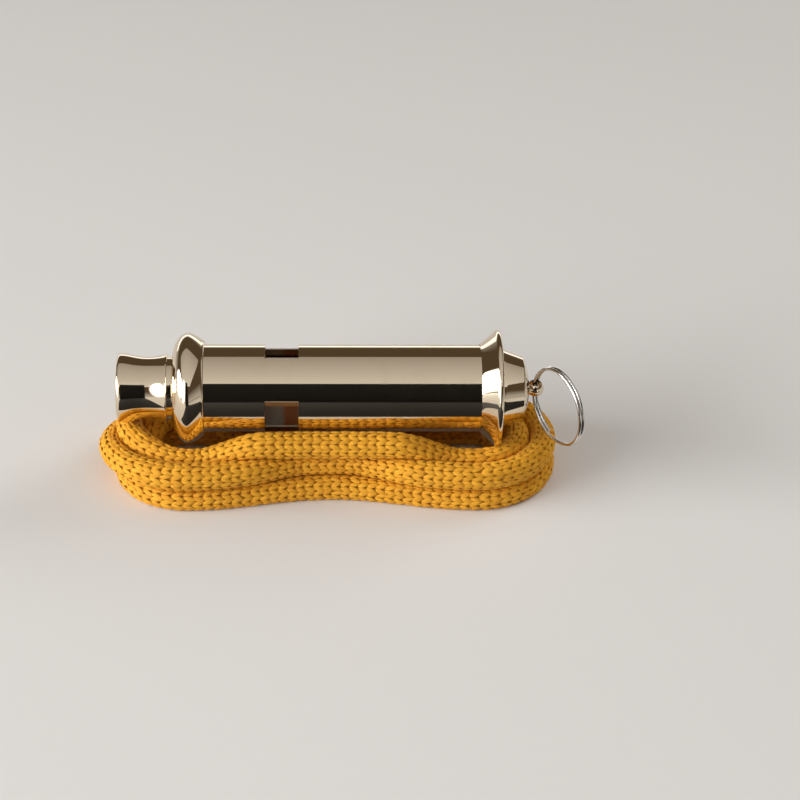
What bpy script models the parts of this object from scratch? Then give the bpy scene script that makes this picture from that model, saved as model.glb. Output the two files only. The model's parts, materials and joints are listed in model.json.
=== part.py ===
"""A three-tone tube whistle of plated brass, lying in the hollow of its folded neck cord.

The whistle's axis is +X, mouthpiece at -X and split ring at +X. Stations are lengths along the axis from
the tip of the mouthpiece. All sizes are metres.
"""

import math

import bmesh
import bpy
import numpy as np
from mathutils import Matrix, Vector

# Clearance and fineness
FIT = 0.0003
SEGMENTS = 40

# Mouthpiece
NECK_LENGTH = 0.0110
NECK_WAIST_RADIUS = 0.00605
NECK_WAIST_AT = 0.0056
LIP_RISE = 0.0007
NECK_FOOT_RISE = 0.0010
NECK_WALL = 0.0007
FOOT_THICKNESS = 0.0006

# Bead collar
COLLAR_WIDTH = 0.0057
COLLAR_CREST_AT = 0.0027
COLLAR_WALL = 0.0004
BEAD_RISE = 0.0013
BEAD_POWER = 2.2

# Barrel and its three windows
BARREL_RADIUS = 0.0085
BARREL_WALL = 0.0006
BARREL_SHOWN = 0.0537
BARREL_SEAT = 0.0036
WINDOW_AT = 0.0119
WINDOW_LENGTH = 0.0065
WINDOW_DEPTH = 0.0012
FIRST_WINDOW_TURN = math.radians(104)

# Air-way blocks, divider and stops inside the barrel
BLOCK_LENGTH = 0.0115
AIRWAY_HEIGHT = 0.0011
DIVIDER_THICKNESS = 0.0007
STOP_THICKNESS = 0.0010
CHAMBER_DEPTH_HIGH = 0.0140
CHAMBER_DEPTH_MIDDLE = 0.0200
CHAMBER_DEPTH_LOW = 0.0260

# Flared end flange
FLARE_LENGTH = 0.0036
FLARE_RISE = 0.0029
FLARE_POWER = 1.1
FLANGE_LIP = 0.0002
FLANGE_WALL = 0.0005
FLANGE_WEB_DROP = 0.0007

# End cap and ring eye
CAP_SHOWN = 0.0047
CAP_SHOULDER = 0.0010
CAP_TAPER = 0.0013
CAP_TUCK = 0.0024
CAP_WALL = 0.0006
SHANK_RADIUS = 0.0012
RIVET_RISE = 0.0009
RIVET_THICKNESS = 0.0006
EYE_WALL = 0.0005
RING_PLAY = 0.0002

# Split ring
RING_RADIUS = 0.0077
RING_WIRE = 0.0007
RING_GAP = 0.00042
RING_POINTS = 28
RING_CROSSING = math.radians(60)
RING_ENDS_AT = math.radians(-110)
RING_TURN_AT_REST = math.radians(-60)

# Neck cord, an endless loop folded in two layers of two turns round the whistle
CORD_DIAMETER = 0.0042
CORD_GAP = 0.00074
FOLD_RADIUS = 0.0088
FOLD_BEFORE_COLLAR_END = 0.0034
RIM_PAST_FOLD = 0.0044
WAIST_DRAW = 0.0036
CORD_FLAT = CORD_DIAMETER / 10
CORD_TURNS = 4
RUN_POINTS = 13
FOLD_POINTS = 9
HEAP_LEFT_IN = 0.0094
HEAP_RIGHT_IN = 0.0103
HEAP_RAMP = 0.0135
HEAP_LEAD = 0.0090
HEAP_LIFT = 0.0004
HEAP_LEAN = math.radians(14.5)

# Stations that follow from the sizes above
LIP_RADIUS = NECK_WAIST_RADIUS + LIP_RISE
BORE_RADIUS = NECK_WAIST_RADIUS - NECK_WALL
NECK_FOOT_RADIUS = NECK_WAIST_RADIUS + NECK_FOOT_RISE
SKIRT_RADIUS = BARREL_RADIUS + FIT + COLLAR_WALL
COLLAR_END = NECK_LENGTH + COLLAR_WIDTH
COLLAR_CREST = NECK_LENGTH + COLLAR_CREST_AT
BARREL_START = COLLAR_END - BARREL_SEAT
BARREL_INSIDE = BARREL_RADIUS - BARREL_WALL
FLARE_START = COLLAR_END + BARREL_SHOWN
FLARE_END = FLARE_START + FLARE_LENGTH
WEB_OUTSIDE = FLARE_END + FLANGE_WEB_DROP
BARREL_END = WEB_OUTSIDE - FLANGE_WALL - FIT
WINDOW_START = COLLAR_END + WINDOW_AT
WINDOW_END = WINDOW_START + WINDOW_LENGTH
CAP_RADIUS = BARREL_INSIDE - FIT
CAP_START = BARREL_END - CAP_TUCK
CAP_END = WEB_OUTSIDE + CAP_SHOWN
RING_LAYER = RING_WIRE + RING_GAP
EYE_HOLE_RADIUS = math.hypot((RING_LAYER + RING_WIRE) / 2, RING_WIRE / 2) + RING_PLAY
EYE_RADIUS = EYE_HOLE_RADIUS + EYE_WALL
EYE_AT = CAP_END + FIT + EYE_RADIUS
RING_FAR = 2 * RING_RADIUS + RING_WIRE / 2
RING_HALF_THICKNESS = RING_LAYER / 2 + RING_WIRE / 4
RING_AHEAD = math.cos(RING_TURN_AT_REST)
RING_ASIDE = abs(math.sin(RING_TURN_AT_REST))
MIDDLE = (EYE_AT + RING_AHEAD * RING_FAR + RING_ASIDE * RING_HALF_THICKNESS) / 2
RING_OUT = RING_ASIDE * RING_FAR + RING_AHEAD * RING_HALF_THICKNESS
AXIS_SIDE = (RING_OUT - BARREL_RADIUS - FLARE_RISE) / 2
CORD_STEP = CORD_DIAMETER + CORD_GAP
LEFT_FOLD_AT = COLLAR_END - FOLD_BEFORE_COLLAR_END
RIGHT_FOLD_AT = FLARE_END - RIM_PAST_FOLD
CRADLE_HALF_WIDTH = math.sqrt(FOLD_RADIUS ** 2 - RIM_PAST_FOLD ** 2)
RIM_TO_CORD = BARREL_RADIUS + FLARE_RISE + FIT + CORD_DIAMETER / 2
AXIS_OVER_CORD = math.sqrt(RIM_TO_CORD ** 2 - CRADLE_HALF_WIDTH ** 2) + CORD_STEP


def clear_scene():
    for item in list(bpy.data.objects):
        bpy.data.objects.remove(item, do_unlink=True)


def finish(name, colour, roughness, metallic):
    """A plain surface: colour, roughness and how metallic it is."""
    material = bpy.data.materials.new(name)
    material.use_nodes = True
    shader = material.node_tree.nodes["Principled BSDF"]
    shader.inputs["Base Color"].default_value = (*colour, 1)
    shader.inputs["Roughness"].default_value = roughness
    shader.inputs["Metallic"].default_value = metallic
    return material


def add(name, mesh_or_curve, material):
    """A new object on the whistle's axis, with its finish."""
    item = bpy.data.objects.new(name, mesh_or_curve)
    item.location = (0, AXIS_SIDE, 0)
    mesh_or_curve.materials.append(material)
    bpy.context.collection.objects.link(item)
    return item


def mesh_of(name, shape, smooth_angle=35):
    """The mesh of a closed bmesh, faces outwards and round faces shaded smooth."""
    bmesh.ops.remove_doubles(shape, verts=shape.verts, dist=1e-7)
    bmesh.ops.dissolve_degenerate(shape, edges=shape.edges, dist=1e-7)
    bmesh.ops.recalc_face_normals(shape, faces=shape.faces)
    mesh = bpy.data.meshes.new(name)
    shape.to_mesh(mesh)
    shape.free()
    mesh.shade_smooth()
    mesh.set_sharp_from_angle(angle=math.radians(smooth_angle))
    return mesh


def turned(name, outline, segments=SEGMENTS):
    """A closed outline of (station, radius) points, turned round the whistle's axis."""
    shape = bmesh.new()
    ring = [shape.verts.new((station - MIDDLE, 0, radius)) for station, radius in outline]
    edges = [shape.edges.new((ring[i - 1], ring[i])) for i in range(len(ring))]
    bmesh.ops.spin(shape, geom=ring + edges, cent=(0, 0, 0), axis=(1, 0, 0),
                   angle=2 * math.pi, steps=segments, use_merge=True)
    return mesh_of(name, shape)


def arc(centre, radii, start, end, count):
    """Points of an elliptic arc, angles in degrees from the station axis towards larger radius."""
    angles = np.radians(np.linspace(start, end, count))
    return [(centre[0] + radii[0] * math.cos(a), centre[1] + radii[1] * math.sin(a)) for a in angles]


def eased(start, end, count):
    """Points from start to end on a half-cosine, level at both ends, without the first point."""
    shares = np.linspace(0, 1, count + 1)[1:]
    return [(start[0] + (end[0] - start[0]) * t,
             start[1] + (end[1] - start[1]) * (0.5 - 0.5 * math.cos(math.pi * t))) for t in shares]


def swept(start, end, power, count):
    """Points from start to end, where the radius follows a power of the way along."""
    shares = np.linspace(0, 1, count + 1)[1:]
    return [(start[0] + (end[0] - start[0]) * t, start[1] + (end[1] - start[1]) * t ** power) for t in shares]


def prism(name, corners, start, end, turn):
    """A flat outline of (across, out) corners carried along the axis, turned to face one window."""
    shape = bmesh.new()
    spin = Matrix.Rotation(turn - math.pi / 2, 3, "X")
    face = shape.faces.new([shape.verts.new(spin @ Vector((start - MIDDLE, *corner))) for corner in corners])
    moved = bmesh.ops.extrude_face_region(shape, geom=[face])["geom"]
    bmesh.ops.translate(shape, verts=[v for v in moved if isinstance(v, bmesh.types.BMVert)],
                        vec=(end - start, 0, 0))
    return mesh_of(name, shape)


def window_turns():
    """Angles of the three windows round the axis, from +Z's quarter: 90 degrees is straight up."""
    return [math.pi - FIRST_WINDOW_TURN + third * math.tau / 3 for third in (0, 1, 2)]


def mouthpiece_mesh():
    """The waisted neck: a full-round lip, a plain bore and a foot that sits against the barrel's end."""
    lip = (LIP_RADIUS - BORE_RADIUS) / 2
    foot_end = BARREL_START - FIT
    foot_start = foot_end - FOOT_THICKNESS
    outline = arc((lip, BORE_RADIUS + lip), (lip, lip), 270, 90, 8)
    outline += eased(outline[-1], (NECK_WAIST_AT, NECK_WAIST_RADIUS), 6)
    outline += eased(outline[-1], (NECK_LENGTH, NECK_FOOT_RADIUS), 4)
    outline += [(foot_start, NECK_FOOT_RADIUS), (foot_start, BARREL_RADIUS), (foot_end, BARREL_RADIUS)]
    outline += [(foot_end, BORE_RADIUS)]
    return turned("mouthpiece", outline)


def collar_wall(inset):
    """One side of the collar's shell: a steep round left face and a shoulder that rolls down to the barrel."""
    hole = NECK_FOOT_RADIUS + FIT
    crest = SKIRT_RADIUS + BEAD_RISE
    left = arc((COLLAR_CREST, hole), (COLLAR_CREST_AT - inset, crest - hole - inset), 180, 90, 9)
    return left + swept((COLLAR_CREST, crest - inset), (COLLAR_END, SKIRT_RADIUS - inset), BEAD_POWER, 7)


def collar_mesh():
    return turned("bead_collar", collar_wall(0) + collar_wall(COLLAR_WALL)[::-1])


def barrel_mesh():
    return turned("barrel", [(BARREL_START, BARREL_RADIUS), (BARREL_END, BARREL_RADIUS),
                             (BARREL_END, BARREL_INSIDE), (BARREL_START, BARREL_INSIDE)])


def window_cutter(turn):
    """A straight cut across the tube. Its far edge is the lip that sounds."""
    side = BARREL_RADIUS + WINDOW_DEPTH
    floor = BARREL_RADIUS - WINDOW_DEPTH
    corners = [(-side, floor), (side, floor), (side, side), (-side, side)]
    return prism("window_cutter", corners, WINDOW_START, WINDOW_END, turn)


def cut(item, cutter):
    """A Boolean difference that stays on the object, with its cutter hidden."""
    cutter.hide_render = True
    cutter.display_type = "WIRE"
    step = item.modifiers.new(cutter.name, "BOOLEAN")
    step.operation = "DIFFERENCE"
    step.object = cutter


def sector(flat_at=None, count=9):
    """The outline of a third of the barrel between two walls of the divider, with an optional flat top."""
    outer = BARREL_INSIDE - FIT
    wall = DIVIDER_THICKNESS / 2 + FIT
    half = math.pi / 3 - math.asin(wall / outer)
    corners = [(0, wall / math.sin(math.pi / 3))]
    if flat_at is None:
        angles = np.linspace(-half, half, 2 * count)
    else:
        level = math.acos(flat_at / outer)
        angles = np.concatenate([np.linspace(-half, -level, count // 2), np.linspace(level, half, count // 2)])
    return corners + [(outer * math.sin(a), outer * math.cos(a)) for a in angles]


def block_mesh(name, turn):
    floor = BARREL_INSIDE - AIRWAY_HEIGHT
    return prism(name, sector(floor), WINDOW_START - BLOCK_LENGTH, WINDOW_START, turn)


def stop_mesh(name, depth, turn):
    return prism(name, sector(), WINDOW_END + depth, WINDOW_END + depth + STOP_THICKNESS, turn)


def divider_mesh():
    """Three thin walls that meet on the axis and keep the chambers apart."""
    reach = BARREL_INSIDE - FIT
    half = DIVIDER_THICKNESS / 2
    crotch = half / math.sin(math.pi / 3)
    corners = []
    for third in (0, 1, 2):
        wall_turn = math.pi / 3 + third * math.tau / 3
        along = np.array((math.sin(wall_turn), math.cos(wall_turn)))
        across = np.array((along[1], -along[0]))
        inner_turn = wall_turn - math.pi / 3
        corners += [(crotch * math.sin(inner_turn), crotch * math.cos(inner_turn))]
        corners += [tuple(reach * along - half * across), tuple(reach * along + half * across)]
    return prism("chamber_divider", corners, WINDOW_START - BLOCK_LENGTH, CAP_START - FIT, window_turns()[0])


def flange_mesh():
    """A spun trumpet flare over the barrel's end, with a rounded rim and a web that carries the cap."""
    start = BARREL_RADIUS + FIT
    rim = FLANGE_WALL
    top = BARREL_RADIUS + FLARE_RISE - rim
    rim_at = FLARE_END - rim
    inner_top = top - FLANGE_WALL
    flare = [(FLARE_START, start + FLANGE_LIP)]
    flare += swept(flare[0], (rim_at - rim, top), FLARE_POWER, 6)
    inside = [(FLARE_START, start)] + swept((FLARE_START, start), (rim_at, inner_top), FLARE_POWER, 4)
    round_rim = arc((rim_at, top), (rim, rim), 160, 0, 7)
    hole = CAP_RADIUS + FIT
    web = [(WEB_OUTSIDE, inner_top), (WEB_OUTSIDE, hole), (WEB_OUTSIDE - FLANGE_WALL, hole)]
    web += [(WEB_OUTSIDE - FLANGE_WALL, inner_top - FLANGE_WALL)]
    return turned("end_flange", flare + round_rim + web + inside[::-1])


def cap_mesh():
    """A drawn cup tucked into the barrel: a plain taper, then a rounded end with the shank's hole in it."""
    shoulder = CAP_END - CAP_SHOULDER
    crown = CAP_RADIUS - CAP_TAPER
    hole = SHANK_RADIUS + FIT
    dome = (CAP_SHOULDER, crown - hole)
    outside = [(CAP_START, CAP_RADIUS), (WEB_OUTSIDE, CAP_RADIUS)]
    outside += arc((shoulder, hole), dome, 90, 0, 8)
    inner_dome = (CAP_SHOULDER - CAP_WALL, crown - hole - CAP_WALL)
    inside = arc((shoulder, hole), inner_dome, 0, 90, 6)
    inside += [(WEB_OUTSIDE, CAP_RADIUS - CAP_WALL), (CAP_START, CAP_RADIUS - CAP_WALL)]
    return turned("end_cap", outside + inside)


def eye_mesh():
    """A turned stud: rivet head inside the cap, shank through it and a ball for the ring outside."""
    head_end = CAP_END - CAP_WALL - FIT
    head = SHANK_RADIUS + RIVET_RISE
    ball_start = math.degrees(math.pi - math.asin(SHANK_RADIUS / EYE_RADIUS))
    outline = [(head_end - RIVET_THICKNESS, 0), (head_end - RIVET_THICKNESS, head), (head_end, head)]
    outline += [(head_end, SHANK_RADIUS)]
    outline += arc((EYE_AT, 0), (EYE_RADIUS, EYE_RADIUS), ball_start, 0, 11)
    return turned("ring_eye", outline, segments=24)


def eye_drill():
    shape = bmesh.new()
    bmesh.ops.create_cone(shape, cap_ends=True, segments=24, radius1=EYE_HOLE_RADIUS,
                          radius2=EYE_HOLE_RADIUS, depth=3 * EYE_RADIUS)
    return mesh_of("eye_drill", shape)


def smooth_step(value):
    value = np.clip(value, 0, 1)
    return value * value * (3 - 2 * value)


def split_ring_points():
    """Two turns of wire side by side, which change places once. The ring's eye side is at the origin."""
    start = RING_ENDS_AT + RING_CROSSING
    end = RING_ENDS_AT + 2 * math.tau
    angles = np.linspace(start, end, round(RING_POINTS * (end - start) / math.tau))
    layer = (smooth_step((angles - RING_ENDS_AT - math.tau) / RING_CROSSING) - 0.5) * RING_LAYER
    return np.column_stack((RING_RADIUS * (1 + np.cos(angles)), layer, RING_RADIUS * np.sin(angles)))


def wire(name, points, diameter, resolution, endless=False):
    """A round bar along a line of points, with closed ends or as an endless loop."""
    curve = bpy.data.curves.new(name, "CURVE")
    curve.dimensions = "3D"
    curve.twist_mode = "Z_UP"
    curve.bevel_depth = diameter / 2
    curve.bevel_resolution = resolution
    curve.use_fill_caps = not endless
    line = curve.splines.new("POLY")
    line.use_cyclic_u = endless
    line.points.add(len(points) - 1)
    for place, point in zip(line.points, points):
        place.co = (*point, 1)
    return curve


def cord_place(turn):
    """Where a turn lies in the bundle: its distance from the whistle's side plane and its height.

    Turns 0 to 3 are inner low, outer low, outer high and inner high. Between whole numbers the bundle
    of four rolls over by a quarter, and rises so that its lowest turn stays on the surface below."""
    half = CORD_STEP / 2
    roll = math.pi / 2 * (turn - 1.5)
    rise = half * math.sqrt(2) * math.cos(math.pi / 4 - math.pi / 2 * (turn % 1))
    return np.array((FOLD_RADIUS + half, rise)) + half * math.sqrt(2) * np.array((math.cos(roll), math.sin(roll)))


def waist(station):
    """How far the long runs are drawn in towards the whistle: most in the middle, nothing at the folds."""
    return WAIST_DRAW * math.sin(math.pi * (station - LEFT_FOLD_AT) / (RIGHT_FOLD_AT - LEFT_FOLD_AT)) ** 2


def heap(station, turn):
    """How far the upper front runs move, out and up, where they lie heaped along the barrel's middle.

    The last turn climbs on the third one, which sinks into the groove of the two below. The climb comes
    first and goes last, so that the two never touch. In the middle the top one leans outwards."""
    lead = HEAP_LEAD if turn == 3 else 0
    share = smooth_step((station - LEFT_FOLD_AT - HEAP_LEFT_IN + lead) / HEAP_RAMP)
    share = share * smooth_step((RIGHT_FOLD_AT - HEAP_RIGHT_IN + lead - station) / HEAP_RAMP)
    lift = np.array((0, 4 * HEAP_LIFT * share * (1 - share)))
    groove = np.array((FOLD_RADIUS + CORD_STEP / 2, CORD_STEP * math.sqrt(3) / 2))
    lean = HEAP_LEAN * (2 * waist(station) / WAIST_DRAW - 1)
    on_top = groove + CORD_STEP * np.array((math.sin(lean), math.cos(lean)))
    if turn == 2:
        return share * (groove - cord_place(2))
    if turn == 3:
        return share * (on_top - cord_place(3)) + lift
    return np.zeros(2)


def cord_points():
    """The cord's middle line: long turns, each a front run, a right fold, a back run and a left fold.

    In the left fold the whole bundle rolls over by a quarter, which takes each turn to the next place and
    the last one back to the first."""
    points = []
    for turn in range(CORD_TURNS):
        out, up = cord_place(turn)
        for station in np.linspace(LEFT_FOLD_AT, RIGHT_FOLD_AT, RUN_POINTS):
            aside = heap(station, turn)
            points.append((station, waist(station) - out - aside[0], up + aside[1]))
        for angle in np.linspace(-math.pi / 2, math.pi / 2, FOLD_POINTS + 2)[1:-1]:
            points.append((RIGHT_FOLD_AT + out * math.cos(angle), out * math.sin(angle), up))
        for station in np.linspace(RIGHT_FOLD_AT, LEFT_FOLD_AT, RUN_POINTS):
            points.append((station, out - waist(station), up))
        for share in np.linspace(0, 1, FOLD_POINTS + 4)[1:-1]:
            out, up = cord_place(turn + smooth_step(share))
            angle = math.pi * (0.5 + share)
            points.append((LEFT_FOLD_AT + out * math.cos(angle), out * math.sin(angle), up))
    return np.array(points) + np.array((-MIDDLE, 0, -AXIS_OVER_CORD))


def fine_line(points, spacing):
    """The same line with a point every spacing, and each point's distance along it."""
    steps = np.linalg.norm(np.diff(points, axis=0), axis=1)
    along = np.concatenate(([0], np.cumsum(steps)))
    places = np.linspace(0, along[-1], round(along[-1] / spacing))
    return np.column_stack([np.interp(places, along, points[:, k]) for k in range(3)]), places


def least_gap(points, diameter):
    """The least distance between stretches of one tube that aren't neighbours along it, and its length."""
    line, places = fine_line(points, diameter / 5)
    apart = np.linalg.norm(line[:, None] - line[None], axis=2)
    between = np.abs(places[:, None] - places[None])
    if np.linalg.norm(points[0] - points[-1]) < diameter:
        between = np.minimum(between, places[-1] - between)
    return apart[between > 3 * diameter].min() - diameter, places[-1]


def cord_mesh():
    """The cord as a mesh, cut flat where it lies on the surface under it."""
    points = cord_points()
    guide = bpy.data.objects.new("cord_guide", wire("cord_guide", points, CORD_DIAMETER, 1, endless=True))
    bpy.context.collection.objects.link(guide)
    bpy.context.view_layer.update()
    mesh = bpy.data.meshes.new_from_object(guide.evaluated_get(bpy.context.evaluated_depsgraph_get()))
    bpy.data.objects.remove(guide, do_unlink=True)
    shape = bmesh.new()
    shape.from_mesh(mesh)
    return mesh_of("lanyard", shape, smooth_angle=70)


def floor_cutter():
    """A block whose top is the surface that the cord lies on."""
    shape = bmesh.new()
    top = -AXIS_OVER_CORD - CORD_DIAMETER / 2 + CORD_FLAT
    size = (2 * EYE_AT, 8 * FOLD_RADIUS, 2 * CORD_DIAMETER, 1)
    place = Matrix.Translation((0, 0, top - CORD_DIAMETER)) @ Matrix.Diagonal(size)
    bmesh.ops.create_cube(shape, size=1, matrix=place)
    return mesh_of("floor_cutter", shape)


def build_shells(plate):
    add("mouthpiece", mouthpiece_mesh(), plate)
    add("bead_collar", collar_mesh(), plate)
    barrel = add("barrel", barrel_mesh(), plate)
    for number, turn in enumerate(window_turns()):
        cutter = add(f"window_cutter_{number}", window_cutter(turn), plate)
        cut(barrel, cutter)
    add("end_flange", flange_mesh(), plate)
    add("end_cap", cap_mesh(), plate)
    eye = add("ring_eye", eye_mesh(), plate)
    drill = add("eye_drill", eye_drill(), plate)
    drill.location = (EYE_AT - MIDDLE, AXIS_SIDE, 0)
    cut(eye, drill)


def build_voicing(brass):
    """Three chambers of unlike depth, each with its own air-way block and stop."""
    add("chamber_divider", divider_mesh(), brass)
    voices = (("high", CHAMBER_DEPTH_HIGH), ("middle", CHAMBER_DEPTH_MIDDLE), ("low", CHAMBER_DEPTH_LOW))
    for (voice, depth), turn in zip(voices, window_turns()):
        add(f"airway_block_{voice}", block_mesh(f"airway_block_{voice}", turn), brass)
        add(f"chamber_stop_{voice}", stop_mesh(f"chamber_stop_{voice}", depth, turn), brass)


def build_ring(steel):
    points = split_ring_points()
    gap, _ = least_gap(points, RING_WIRE)
    print(f"split ring: least gap between its turns {gap * 1000:.2f} mm")
    pivot = bpy.data.objects.new("ring_pivot", None)
    bpy.context.collection.objects.link(pivot)
    pivot.location = (EYE_AT - MIDDLE, AXIS_SIDE, 0)
    pivot.rotation_euler = (0, 0, RING_TURN_AT_REST)
    ring = add("split_ring", wire("split_ring", points, RING_WIRE, 2), steel)
    ring.parent = pivot
    ring.location = (0, 0, 0)


def build_cord(fabric):
    points = cord_points()
    gap, length = least_gap(np.vstack((points, points[:1])), CORD_DIAMETER)
    print(f"lanyard: least gap to itself {gap * 1000:.2f} mm, length {length * 1000:.0f} mm")
    lanyard = add("lanyard", cord_mesh(), fabric)
    cut(lanyard, add("floor_cutter", floor_cutter(), fabric))


def build():
    clear_scene()
    build_shells(finish("nickel_plate", (0.83, 0.79, 0.71), 0.12, 1.0))
    build_voicing(finish("bare_brass", (0.62, 0.42, 0.20), 0.35, 1.0))
    build_ring(finish("ring_steel", (0.72, 0.71, 0.69), 0.18, 1.0))
    build_cord(finish("amber_cord", (0.84, 0.38, 0.03), 0.85, 0.0))


build()
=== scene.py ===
# %% [markdown]
# A tube whistle on its folded neck cord
#
# The solids of the whistle come in as a fixed frame: they give every size and place, and the pieces made
# here lie exactly over them. This lesson gives each piece the form and the finish of the real one: shells
# spun from plated brass, a split ring of spring wire, and a cord whose knitted stitches are all modelled.
#
# Sizes of pieces are in millimetres, as a maker thinks, with stations measured along the whistle from the
# mouthpiece's tip. Lights are placed in metres, Blender's own unit.

# %% Load the frame
import json
import math

import bpy
import numpy as np
from mathutils import Matrix, Vector


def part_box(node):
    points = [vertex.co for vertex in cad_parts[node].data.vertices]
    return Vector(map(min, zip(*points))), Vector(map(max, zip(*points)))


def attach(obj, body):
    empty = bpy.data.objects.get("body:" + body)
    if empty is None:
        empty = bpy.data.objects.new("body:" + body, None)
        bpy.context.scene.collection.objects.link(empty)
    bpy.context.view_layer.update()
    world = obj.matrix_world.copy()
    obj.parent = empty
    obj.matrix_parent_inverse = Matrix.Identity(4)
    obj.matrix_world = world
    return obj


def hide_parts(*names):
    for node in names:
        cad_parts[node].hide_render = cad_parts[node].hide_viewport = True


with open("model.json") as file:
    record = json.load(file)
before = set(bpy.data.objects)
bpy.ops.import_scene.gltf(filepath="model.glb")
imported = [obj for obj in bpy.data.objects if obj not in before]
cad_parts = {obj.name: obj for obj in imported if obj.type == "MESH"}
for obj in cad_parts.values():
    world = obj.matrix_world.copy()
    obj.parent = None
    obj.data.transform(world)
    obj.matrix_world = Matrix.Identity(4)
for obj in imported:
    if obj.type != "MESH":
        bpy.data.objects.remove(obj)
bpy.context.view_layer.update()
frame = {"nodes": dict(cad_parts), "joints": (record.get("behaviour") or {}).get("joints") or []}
MM = 0.001
BARREL_START = 13.1
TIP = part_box("barrel")[0].x - BARREL_START * MM
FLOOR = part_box("lanyard")[0].z
HINGE = Vector(frame["joints"][0]["pos_m"])
AXIS = HINGE.y
print("frame:", len(frame["nodes"]), "nodes, mouthpiece tip at x =", round(TIP / MM, 2), "mm")

# %% [markdown]
# The camera
#
# The picture was taken from above and a little to the mouthpiece's side. A long lens keeps the barrel's
# edges parallel, and a slight roll lays the barrel level. A camera could be pushed about by eye. Here its
# aim and distance are worked out from the pixels that a millimetre takes and where the mouthpiece's tip
# lies, which needs no searching.

# %% Camera
CAMERA_SIDE = math.radians(-3)
CAMERA_HEIGHT = math.radians(33)
LENS = 100
SENSOR = 36
NEAR_CLIP = 0.01
PIXELS = 800
PIXELS_PER_MM = 5.12
TIP_PIXEL = 119
AXIS_PIXEL = 388


def camera_axes():
    """The camera's directions: back towards it, right and up in the picture, with the barrel level."""
    back = Vector((math.sin(CAMERA_SIDE) * math.cos(CAMERA_HEIGHT),
                   -math.cos(CAMERA_SIDE) * math.cos(CAMERA_HEIGHT), math.sin(CAMERA_HEIGHT)))
    right = (Vector((1, 0, 0)) - back * back.x).normalized()
    return back, right, back.cross(right)


def add_camera():
    """Adds the camera and gives its distance from the whistle."""
    back, right, up = camera_axes()
    scale = PIXELS_PER_MM / MM
    middle_x = TIP + (PIXELS / 2 - TIP_PIXEL) / scale
    aim = Vector((middle_x, AXIS, 0)) - up * (PIXELS / 2 - AXIS_PIXEL) / scale
    distance = LENS / SENSOR * PIXELS / scale
    camera = bpy.data.objects.new("camera", bpy.data.cameras.new("camera"))
    bpy.context.scene.collection.objects.link(camera)
    camera.data.lens = LENS
    camera.data.sensor_width = SENSOR
    camera.data.clip_start = NEAR_CLIP
    turn = Matrix((right, up, back)).transposed().to_4x4()
    camera.matrix_world = Matrix.Translation(aim + back * distance) @ turn
    bpy.context.scene.camera = camera
    return distance


print("camera:", round(add_camera() / MM), "mm from the whistle")

# %% [markdown]
# Places in the hank
#
# The neck cord is one endless loop, folded into four long turns that lie as the corners of a square. The
# long runs are drawn in at the waist, and along the front the third turn sinks between the lower two, with
# the fourth heaped on it. A curve could be set by hand, with hundreds of points. A few rules give the same
# hank from a handful of sizes, and keep the turns apart.

# %% Places in the hank
CORD_STEP = 4.94
FOLD_RADIUS = 8.8
LEFT_FOLD = 13.3
RIGHT_FOLD = 69.6
WAIST_DRAW = 3.6
HEAP_LEFT_IN = 9.4
HEAP_RIGHT_IN = 10.3
HEAP_RAMP = 13.5
HEAP_LEAD = 7.5
HEAP_LEAN = math.radians(14.5)
FIRST_CORNER = -1.5
THIRD, FOURTH = 2, 3


def smooth_step(value):
    """Goes from 0 to 1 with a soft start and a soft end."""
    value = np.clip(value, 0, 1)
    return value * value * (3 - 2 * value)


def cord_place(turn):
    """A turn's distance from the whistle's side plane and its height. Parts of a turn roll the bundle."""
    half = CORD_STEP / 2
    spoke = half * math.sqrt(2)
    roll = math.pi / 2 * (turn + FIRST_CORNER)
    rise = spoke * math.cos(math.pi / 4 - math.pi / 2 * (turn % 1))
    return np.array((FOLD_RADIUS + half, rise)) + spoke * np.array((math.cos(roll), math.sin(roll)))


def waist(station):
    """How far the long runs are drawn in at a station."""
    return WAIST_DRAW * math.sin(math.pi * (station - LEFT_FOLD) / (RIGHT_FOLD - LEFT_FOLD)) ** 2


def heap(station, turn):
    """How far the third turn sinks and the fourth climbs where they are heaped along the front."""
    if turn < THIRD:
        return np.zeros(2)
    lead = HEAP_LEAD if turn == FOURTH else 0
    share = smooth_step((station - LEFT_FOLD - HEAP_LEFT_IN + lead) / HEAP_RAMP)
    share = share * smooth_step((RIGHT_FOLD - HEAP_RIGHT_IN + lead - station) / HEAP_RAMP)
    groove = np.array((FOLD_RADIUS + CORD_STEP / 2, CORD_STEP * math.sqrt(3) / 2))
    if turn == THIRD:
        return share * (groove - cord_place(THIRD))
    lean = HEAP_LEAN * (2 * waist(station) / WAIST_DRAW - 1)
    on_top = groove + CORD_STEP * np.array((math.sin(lean), math.cos(lean)))
    return share * (on_top - cord_place(FOURTH))


print("hank: folds", round(RIGHT_FOLD - LEFT_FOLD, 1), "mm apart, turns", CORD_STEP, "mm apart")

# %% [markdown]
# The cord's middle line
#
# Each turn runs along the front, round the right fold, back behind the whistle and round the left fold.
# There the bundle rolls over by a quarter, so that every turn takes the next one's place and the four join
# into one loop. Points set by hand would crowd in the folds. The line is divided evenly, as the stitches of
# a knitted cord are.

# %% The cord's middle line
CORD_DIAMETER = 4.2
CORD_TURNS = 4
FLAT_SHARE = 0.1
CORD_LOW = FLOOR / MM + CORD_DIAMETER * (0.5 - FLAT_SHARE)
COURSES = 412
SAMPLES_PER_COURSE = 4
SAMPLES = COURSES * SAMPLES_PER_COURSE


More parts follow.
